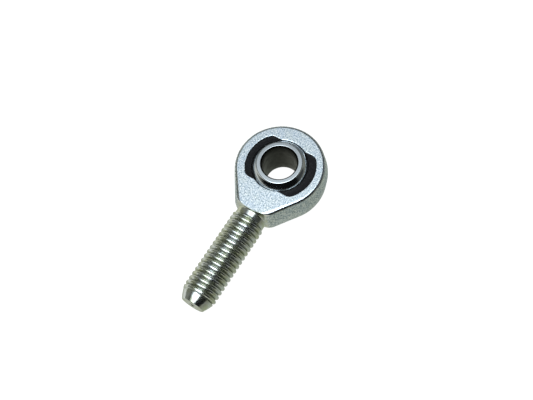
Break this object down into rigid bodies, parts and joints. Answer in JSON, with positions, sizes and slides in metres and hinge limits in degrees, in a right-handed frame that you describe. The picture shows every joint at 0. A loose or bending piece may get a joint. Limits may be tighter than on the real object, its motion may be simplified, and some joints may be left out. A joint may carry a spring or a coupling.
{
  "type": "rod end bearing",
  "caption": "Male rod end bearing: a forged steel eye on a threaded shank, with a bored ball that tilts in a moulded nylon liner.",
  "frame": {"origin": "centre of the ball, on the axis of its bore", "axes": "+Z along the ball's bore, -Y along the threaded shank to its tip, X across the eye"},
  "size_m": [0.0322, 0.0706, 0.016],
  "materials": {
    "zinc_plated_steel": "zinc plated and clear passivated over a blasted forging, with a rolled thread",
    "black_nylon": "injection moulded, matt",
    "ground_bearing_steel": "hardened, ground and polished, with a dark machined bore"
  },
  "bodies": {
    "housing": {"housing": "zinc_plated_steel", "liner": "black_nylon"},
    "ball": {"ball": "ground_bearing_steel"}
  },
  "joints": [
    {"name": "ball_tilt", "type": "hinge", "parent": "housing", "child": "ball", "pos_m": [0, 0, 0], "axis": [1, 0, 0], "range_deg": [-13, 13]}
  ]
}
